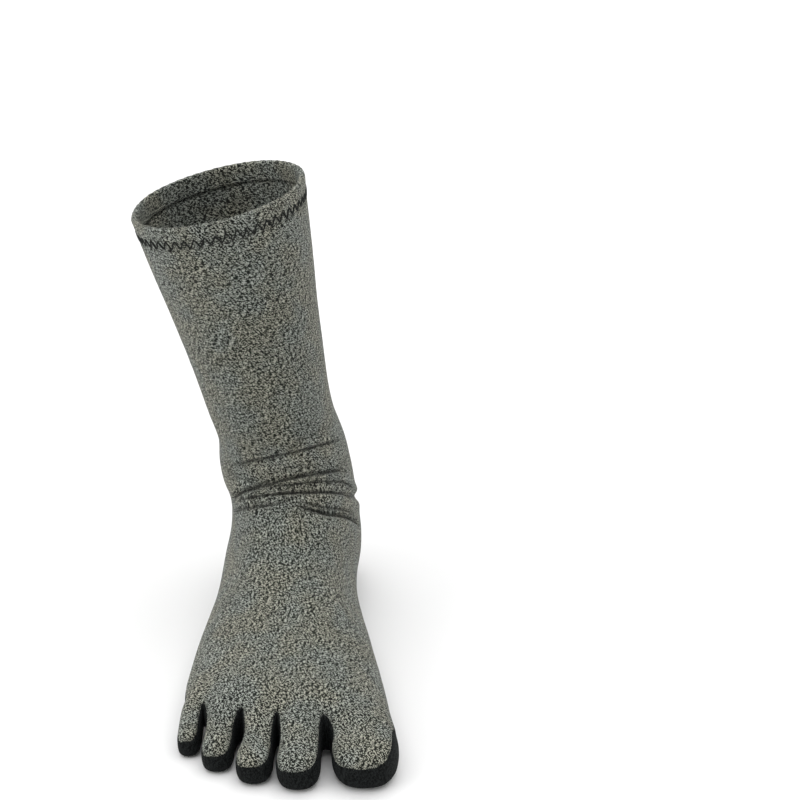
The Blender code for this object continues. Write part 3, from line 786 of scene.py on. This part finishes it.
# %% [markdown]
# ## Small tools for shader nodes
#
# A shader graph in code is easier to read when one call adds a node, sets it and
# joins its inputs. A value that is a socket becomes a link, and any other value
# is written into the input.

# %% Node helpers


def add_node(tree, kind, inputs=None, **settings):
    node = tree.nodes.new(kind)
    for key, value in settings.items():
        setattr(node, key, value)
    for key, value in (inputs or {}).items():
        if isinstance(value, bpy.types.NodeSocket):
            tree.links.new(value, node.inputs[key])
        else:
            node.inputs[key].default_value = value
    return node


def calc(tree, operation, *values):
    """One step of arithmetic."""
    node = add_node(tree, "ShaderNodeMath", dict(enumerate(values)), operation=operation)
    return node.outputs[0]


def blend(tree, share, first, second):
    """A number between two others."""
    inputs = {"Factor": share, "A": first, "B": second}
    return add_node(tree, "ShaderNodeMix", inputs, data_type="FLOAT").outputs[0]


def mix_colours(tree, share, first, second, way="MIX"):
    """A colour between two others, or their product with the way MULTIPLY."""
    inputs = {"Factor": share, "A": first, "B": second}
    mix = add_node(tree, "ShaderNodeMix", inputs, data_type="RGBA", blend_type=way)
    return mix.outputs["Result"]


def ramp(tree, value, low, high):
    """From 0 at a low value to 1 at a high one, softly."""
    inputs = {"Value": value, "From Min": low, "From Max": high}
    node = add_node(tree, "ShaderNodeMapRange", inputs, interpolation_type="SMOOTHSTEP")
    return node.outputs[0]


def object_place(tree):
    return add_node(tree, "ShaderNodeTexCoord").outputs["Object"]


def split(tree, vector):
    return add_node(tree, "ShaderNodeSeparateXYZ", {0: vector}).outputs


def flat_place(tree, x, y):
    return add_node(tree, "ShaderNodeCombineXYZ", {"X": x, "Y": y}).outputs[0]


def new_group(name, inputs, outputs):
    """A node group with named sockets, each a number or a colour."""
    kinds = {"number": "NodeSocketFloat", "colour": "NodeSocketColor"}
    group = bpy.data.node_groups.new(name, "ShaderNodeTree")
    for direction, sockets in (("INPUT", inputs), ("OUTPUT", outputs)):
        for label, kind in sockets:
            group.interface.new_socket(label, in_out=direction, socket_type=kinds[kind])
    start = group.nodes.new("NodeGroupInput")
    end = group.nodes.new("NodeGroupOutput")
    return group, start.outputs, end.inputs


def place_group(tree, group, inputs):
    return add_node(tree, "ShaderNodeGroup", inputs, node_tree=group).outputs


# %% [markdown]
# ## Jersey loops
#
# The face of jersey is rows of small V shapes. A column of Vs is a wale and a row
# is a course. Folding the across distance with an absolute value makes the two
# legs of each V, and adding it to the along distance slants them. The yarn of a
# melange jersey is spun from dark and pale fibres, which show as short slanting
# flecks, and each leg has a tone of its own besides. Modelled loops would need
# millions of faces, and a picture of cloth would blur close by, so each loop is
# worked out from where it lies.

# %% Group: jersey loops
# Courses by which a leg of the V would rise across a whole wale
LEG_RISE = 1.3
FLECK_TILT = math.radians(-25.0)
FLECK_LENGTH = 0.0014
FLECK_WIDTH = 0.00034
# Noise below the first value is a dark fleck, and above the second a pale one
FLECK_EDGES = (0.36, 0.64)
OWN_TONE_SHARE = 0.15


def jersey_loops_group():
    group, given, result = new_group(
        "Jersey loops",
        [("Across", "number"), ("Along", "number"), ("Wale", "number"), ("Course", "number")],
        [("Height", "number"), ("Tone", "number")],
    )
    wales = calc(group, "DIVIDE", given["Across"], given["Wale"])
    courses = calc(group, "DIVIDE", given["Along"], given["Course"])
    off_centre = calc(group, "SUBTRACT", calc(group, "FRACT", wales), 0.5)
    folded = calc(group, "ABSOLUTE", off_centre)
    slanted = calc(group, "ADD", courses, calc(group, "MULTIPLY", folded, LEG_RISE))
    # From -1 to 1 across one leg of the V
    across_leg = calc(group, "SUBTRACT", calc(group, "MULTIPLY", folded, 4.0), 1.0)
    across_round = calc(group, "SUBTRACT", 1.0, calc(group, "MULTIPLY", across_leg, across_leg))
    along_turn = calc(group, "MULTIPLY", calc(group, "FRACT", slanted), math.pi)
    round_leg = calc(group, "MULTIPLY", across_round, calc(group, "SINE", along_turn))
    height = calc(group, "POWER", calc(group, "MAXIMUM", round_leg, 0.0), 0.5)
    group.links.new(height, result["Height"])
    row = calc(group, "FLOOR", slanted)
    leg = calc(group, "FLOOR", calc(group, "MULTIPLY", wales, 2.0))
    leg_across = calc(group, "MULTIPLY", calc(group, "MULTIPLY", leg, 0.5), given["Wale"])
    row_along = calc(group, "MULTIPLY", row, given["Course"])
    fleck_place = add_node(
        group,
        "ShaderNodeMapping",
        {
            "Vector": flat_place(group, leg_across, row_along),
            "Rotation": (0.0, 0.0, FLECK_TILT),
            "Scale": (FLECK_LENGTH, FLECK_WIDTH, 1.0),
        },
        vector_type="TEXTURE",
    )
    drift = add_node(
        group,
        "ShaderNodeTexNoise",
        {"Vector": fleck_place.outputs[0], "Scale": 1.0, "Detail": 1.0},
        noise_dimensions="2D",
    )
    flecks = ramp(group, drift.outputs[0], *FLECK_EDGES)
    numbers = flat_place(group, leg, row)
    own = add_node(group, "ShaderNodeTexWhiteNoise", {"Vector": numbers}, noise_dimensions="2D")
    tone = blend(group, OWN_TONE_SHARE, flecks, own.outputs["Value"])
    group.links.new(tone, result["Tone"])
    return group


JERSEY_LOOPS = jersey_loops_group()
print(JERSEY_LOOPS.name, "has", len(JERSEY_LOOPS.nodes), "nodes")

# %% [markdown]
# ## Laying the loops over a foot
#
# No flat pattern fits a foot, so four placements share the sock. On leg and heel
# the wales run up and the courses go round, by the angle about the leaning leg. On
# top of the foot, at its sides and on its ends the pattern is laid straight on,
# and the surface's own normal says which placement shows. The fold at the rim
# faces up, and is laid like the top of the foot.

# %% Group: sock knit
WALES_ROUND = 280.0
# A foot stretches the cloth along its top, so the courses lie farther apart there
FOOT_STRETCH = 1.4
LEG_HEIGHTS = (0.082, 0.088)
HEEL_FRONT = (-0.004, 0.002)
# Each placement fades in between two sizes of the normal's part along an axis:
# upwards for leg and heel, sideways, and towards the foot's ends
LEG_UPWARD = (0.82, 0.72)
HEEL_UPWARD = (0.62, 0.52)
SIDEWAYS = (0.68, 0.74)
ENDWAYS = (0.82, 0.88)
# Half the distance from the axis keeps the courses even where the leg widens,
# and half the height keeps them even where the instep rises
WIDENING_SHARE = -0.5
INSTEP_SHARE = 0.5


def sock_knit_group():
    group, given, result = new_group(
        "Sock knit",
        [("Wale", "number"), ("Course", "number")],
        [("Height", "number"), ("Tone", "number")],
    )
    x, y, z = split(group, object_place(group))
    normal = add_node(group, "ShaderNodeNewGeometry").outputs["Normal"]
    nx, ny, nz = [calc(group, "ABSOLUTE", part) for part in split(group, normal)]
    leg_rise = calc(group, "MAXIMUM", calc(group, "SUBTRACT", z, LEAN_START), 0.0)
    from_axis = calc(group, "MULTIPLY_ADD", leg_rise, math.tan(LEG_LEAN), x)
    angle = calc(group, "ARCTAN2", from_axis, calc(group, "MULTIPLY", y, -1.0))
    turn = calc(group, "MULTIPLY", angle, WALES_ROUND / (2 * math.pi))
    leg_across = calc(group, "MULTIPLY", turn, given["Wale"])
    y_squared = calc(group, "MULTIPLY", y, y)
    out = calc(group, "SQRT", calc(group, "MULTIPLY_ADD", from_axis, from_axis, y_squared))
    risen = calc(group, "MULTIPLY_ADD", from_axis, math.sin(LEG_LEAN), z)
    leg_along = calc(group, "MULTIPLY_ADD", out, WIDENING_SHARE, risen)
    leg_high = ramp(group, z, *LEG_HEIGHTS)
    on_leg = calc(group, "MULTIPLY", leg_high, ramp(group, nz, *LEG_UPWARD))
    heel_back = ramp(group, y, *HEEL_FRONT)
    on_heel = calc(group, "MULTIPLY", ramp(group, nz, *HEEL_UPWARD), heel_back)
    top_way = calc(group, "MULTIPLY_ADD", z, INSTEP_SHARE, y)
    top_along = calc(group, "DIVIDE", top_way, FOOT_STRETCH)
    layouts = [(x, top_along), (z, y), (x, z), (leg_across, leg_along)]
    masks = [
        ramp(group, nx, *SIDEWAYS),
        ramp(group, ny, *ENDWAYS),
        calc(group, "MAXIMUM", on_leg, on_heel),
    ]
    sizes = {name: given[name] for name in ("Wale", "Course")}
    placed = [
        place_group(group, JERSEY_LOOPS, {"Across": across, "Along": along, **sizes})
        for across, along in layouts
    ]
    for name in ("Height", "Tone"):
        value = placed[0][name]
        for mask, other in zip(masks, placed[1:]):
            value = blend(group, mask, value, other[name])
        group.links.new(value, result[name])
    return group


SOCK_KNIT = sock_knit_group()
print(SOCK_KNIT.name, "has", len(SOCK_KNIT.nodes), "nodes")

# %% [markdown]
# ## Heather colours
#
# Heather or melange yarn looks grey-green from afar, but it is near-black, mid
# grey and pale fibre side by side, so one even grey would look lifeless. A colour
# ramp turns each leg's tone into one of them. A broad, faint change of tint keeps
# large areas from looking printed.

# %% Group: heather colours
# Each fibre's tone and colour, from the darkest to the brightest
FIBRES = (
    (0.32, (0.007, 0.008, 0.007, 1.0)),
    (0.46, (0.028, 0.031, 0.026, 1.0)),
    (0.57, (0.066, 0.070, 0.060, 1.0)),
    (0.70, (0.190, 0.196, 0.170, 1.0)),
    (0.84, (0.440, 0.447, 0.400, 1.0)),
)
WARM_TINT = (1.03, 1.01, 0.92, 1.0)
COOL_TINT = (0.95, 1.00, 1.00, 1.0)
PATCH_SCALE = 60.0
PATCH_EDGES = (0.32, 0.68)


def heather_colours_group():
    group, given, result = new_group("Heather colours", [("Tone", "number")], [("Color", "colour")])
    colours = add_node(group, "ShaderNodeValToRGB", {0: given["Tone"]})
    elements = colours.color_ramp.elements
    while len(elements) < len(FIBRES):
        elements.new(0.5)
    for element, (tone, colour) in zip(elements, FIBRES):
        element.position = tone
        element.color = colour
    inputs = {"Vector": object_place(group), "Scale": PATCH_SCALE, "Detail": 1.0}
    patches = add_node(group, "ShaderNodeTexNoise", inputs).outputs[0]
    cool = ramp(group, patches, *PATCH_EDGES)
    tint = mix_colours(group, cool, WARM_TINT, COOL_TINT)
    tinted = mix_colours(group, 1.0, colours.outputs[0], tint, way="MULTIPLY")
    group.links.new(tinted, result["Color"])
    return group


HEATHER_COLOURS = heather_colours_group()
print(HEATHER_COLOURS.name, "mixes", len(FIBRES), "fibres")

# %% [markdown]
# ## What all cloth shares
#
# Cloth is rough and hardly glossy. Sheen on the shader stands for the fuzz of fibre
# ends, which catch light at the outline. Real hairs would do that too, at a far
# greater cost. The bump takes its height from loops or plies, and makes light and
# shade without any new faces.

# %% Helpers for cloth
FUZZ_ROUGHNESS = 0.45


def cloth_material(name, roughness, gloss, sheen, sheen_tint):
    material = bpy.data.materials.new(name)
    material.use_nodes = True
    shader = material.node_tree.nodes["Principled BSDF"]
    shader.inputs["Roughness"].default_value = roughness
    shader.inputs["Specular IOR Level"].default_value = gloss
    shader.inputs["Sheen Weight"].default_value = sheen
    shader.inputs["Sheen Roughness"].default_value = FUZZ_ROUGHNESS
    shader.inputs["Sheen Tint"].default_value = sheen_tint
    return material, material.node_tree, shader


def bump_from(tree, shader, height, distance, strength):
    inputs = {"Height": height, "Distance": distance, "Strength": strength}
    bump = add_node(tree, "ShaderNodeBump", inputs)
    tree.links.new(bump.outputs[0], shader.inputs["Normal"])


# %% [markdown]
# ## The heather jersey
#
# Knit and heather colours meet here. Between the loops, and in the creases, shade
# is painted into the colour, because little light gets in there. Light would do this
# by itself only if the loops were modelled. The painted shade of the creases comes
# from the attribute that was kept when they were pressed.

# %% Make the heather jersey
HEATHER_WALE = 0.00076
HEATHER_COURSE = 0.00036
# The colour of the painted shade between loops
PAINTED_GAP_SHADE = (0.0, 0.0, 0.0, 1.0)
# Between loops the painted shade darkens the colour towards black, but stays short of it
LOOP_SHADE = (-0.6, 0.9)
# Painted shade along the creases: its strength and its near-black colour
PAINTED_CREASE_SHADE = 0.90
CREASE_SHADE_COLOUR = (0.010, 0.011, 0.009, 1.0)
# Pale fibres are smoother than dark ones
SMOOTHER_TONES = (3.0, -1.0)


def heather_material(name):
    material, tree, shader = cloth_material(
        name, roughness=0.92, gloss=0.16, sheen=0.08, sheen_tint=(0.80, 0.82, 0.76, 1.0)
    )
    knit = place_group(tree, SOCK_KNIT, {"Wale": HEATHER_WALE, "Course": HEATHER_COURSE})
    colours = place_group(tree, HEATHER_COLOURS, {"Tone": knit["Tone"]})
    # Painted shade between the loops, darkest where a loop is lowest
    shade = ramp(tree, knit["Height"], *LOOP_SHADE)
    shaded = mix_colours(tree, shade, PAINTED_GAP_SHADE, colours["Color"])
    # Painted shade in the creases, from the attribute kept when they were pressed
    painted_crease_shade = add_node(tree, "ShaderNodeAttribute", attribute_name="crease").outputs["Fac"]
    crease_shade_mix = calc(tree, "MULTIPLY", painted_crease_shade, PAINTED_CREASE_SHADE)
    creased = mix_colours(tree, crease_shade_mix, shaded, CREASE_SHADE_COLOUR)
    tree.links.new(creased, shader.inputs["Base Color"])
    tree.links.new(ramp(tree, knit["Tone"], *SMOOTHER_TONES), shader.inputs["Roughness"])
    bump_from(tree, shader, knit["Height"], distance=0.00025, strength=0.6)
    return material


heather = heather_material("heather_jersey")
print(heather.name, "has", len(heather.node_tree.nodes), "nodes")

# %% [markdown]
# ## The black jersey
#
# The gusset has the same knit in a dyed yarn. Its loops are narrower and taller, so
# they stand closer to square. One plain black would hide them, so each loop gets a
# slightly different black from its tone.

# %% Make the black jersey
BLACK_WALE = 0.00070
BLACK_COURSE = 0.00055
BLACK_TONES = (0.1, 0.9)
DEEP_BLACK = (0.0008, 0.0012, 0.0012, 1.0)
WORN_BLACK = (0.0150, 0.0170, 0.0170, 1.0)


def black_material(name):
    material, tree, shader = cloth_material(
        name, roughness=0.75, gloss=0.07, sheen=0.015, sheen_tint=(0.50, 0.55, 0.55, 1.0)
    )
    knit = place_group(tree, SOCK_KNIT, {"Wale": BLACK_WALE, "Course": BLACK_COURSE})
    shade = ramp(tree, knit["Tone"], *BLACK_TONES)
    colour = mix_colours(tree, shade, DEEP_BLACK, WORN_BLACK)
    tree.links.new(colour, shader.inputs["Base Color"])
    bump_from(tree, shader, knit["Height"], distance=0.00022, strength=0.8)
    return material


black = black_material("black_jersey")
print(black.name, "has", len(black.node_tree.nodes), "nodes")

# %% [markdown]
# ## Thread
#
# Sewing thread is two or three plies twisted together. A wave that runs slantwise
# through space is enough for so thin a thread, and gives it a broken gloss.

# %% Make the thread materials
PLY_SCALE = 900.0
HEM_THREAD_COLOURS = ((0.008, 0.009, 0.008, 1.0), (0.020, 0.022, 0.020, 1.0))
SEAM_THREAD_COLOURS = ((0.012, 0.013, 0.012, 1.0), (0.045, 0.048, 0.043, 1.0))


def thread_material(name, dark, pale):
    material, tree, shader = cloth_material(
        name, roughness=0.6, gloss=0.12, sheen=0.02, sheen_tint=(0.6, 0.6, 0.6, 1.0)
    )
    inputs = {"Vector": object_place(tree), "Scale": PLY_SCALE, "Distortion": 1.5}
    plies = add_node(tree, "ShaderNodeTexWave", inputs, bands_direction="DIAGONAL").outputs[0]
    colour = mix_colours(tree, plies, dark, pale)
    tree.links.new(colour, shader.inputs["Base Color"])
    bump_from(tree, shader, plies, distance=0.00006, strength=0.6)
    return material


hem_thread = thread_material("hem_thread", *HEM_THREAD_COLOURS)
seam_thread = thread_material("seam_thread", *SEAM_THREAD_COLOURS)
print("thread materials:", hem_thread.name, "and", seam_thread.name)

# %% [markdown]
# ## Joining the pieces to the frame
#
# Each piece rides on the sock's one body, and the three cloths hide the packed
# solids they stand for. The hem is the end of the heather cloth, so it and the
# threads belong to it.

# %% Ride and replace
PIECES = (
    (body_cloth, heather, "heather_jersey", "body"),
    (gusset_cloth, black, "black_jersey", "toe_gusset"),
    (folded_hem, heather, "hem_jersey", "hem"),
    (zigzag, hem_thread, None, None),
    (allowance, black, "black_jersey", None),
    (stitches, seam_thread, None, None),
)
for piece, material, slot, node in PIECES:
    piece.data.materials.clear()
    piece.data.materials.append(material)
    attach(piece, "root")
    if node:
        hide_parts(node)
print("pieces:", [piece.name for piece, _, _, _ in PIECES])

# %% [markdown]
# ## The floor
#
# A pale floor that runs far back becomes the background. A white world behind the
# sock would do for that, but a floor also takes the soft shadow that makes the sock
# stand. It belongs to the stage, not to the sock. A faint mottle keeps it from
# being one flat colour.

# %% Lay the floor
FLOOR_SIZE = 12.0
FLOOR_COLOURS = ((0.79, 0.79, 0.79, 1.0), (0.82, 0.82, 0.82, 1.0))


def pale_floor():
    half = FLOOR_SIZE / 2
    ways = ((-1, -1), (1, -1), (1, 1), (-1, 1))
    corners = [(half * x, half * y, 0.0) for x, y in ways]
    floor = add_mesh("floor", corners, [(0, 1, 2, 3)])
    material = bpy.data.materials.new("pale_floor")
    material.use_nodes = True
    tree = material.node_tree
    shader = tree.nodes["Principled BSDF"]
    inputs = {"Vector": object_place(tree), "Scale": 3.0, "Detail": 2.0}
    mottle = add_node(tree, "ShaderNodeTexNoise", inputs).outputs[0]
    tree.links.new(mix_colours(tree, mottle, *FLOOR_COLOURS), shader.inputs["Base Color"])
    shader.inputs["Roughness"].default_value = 0.8
    floor.data.materials.append(material)
    print("floor:", FLOOR_SIZE, "m wide")


pale_floor()

# %% [markdown]
# ## The light
#
# A very wide, far light makes the floor white all over. It hangs overhead and a
# little behind the sock, so a dark halo is left only in front, where the toes meet
# the floor. A faint low light makes the left side a little brighter than the right,
# as in a catalogue picture, and a bright world fills what both lights leave. Small
# lamps close by would draw hard shadows and fade across the floor.

# %% Light the studio


def soft_sun(name, way, width, strength):
    """A far light: its shadows are as soft as it is wide, and it never fades."""
    lamp = bpy.data.lights.new(name, "SUN")
    lamp.angle = math.radians(width)
    lamp.energy = strength
    light = bpy.data.objects.new(name, lamp)
    light.rotation_euler = Vector(way).to_track_quat("-Z", "Y").to_euler()
    bpy.context.scene.collection.objects.link(light)
    print("light", name, "of strength", strength, "and", width, "degrees wide")


def bright_world(strength):
    """A world that lights at the given strength, and that the camera sees as plain white."""
    world = bpy.data.worlds.new("studio")
    world.use_nodes = True
    tree = world.node_tree
    seen = add_node(tree, "ShaderNodeLightPath").outputs["Is Camera Ray"]
    background = tree.nodes["Background"]
    background.inputs["Color"].default_value = (1.0, 1.0, 1.0, 1.0)
    tree.links.new(blend(tree, seen, strength, 1.0), background.inputs["Strength"])
    bpy.context.scene.world = world


soft_sun("overhead", way=(0.0, -0.15, -1.0), width=80.0, strength=2.1)
soft_sun("from_the_left", way=(1.0, 0.45, -0.5), width=40.0, strength=0.8)
bright_world(strength=0.72)
# A plain display curve, without the film look that greys a white background
bpy.context.scene.view_settings.view_transform = "Standard"
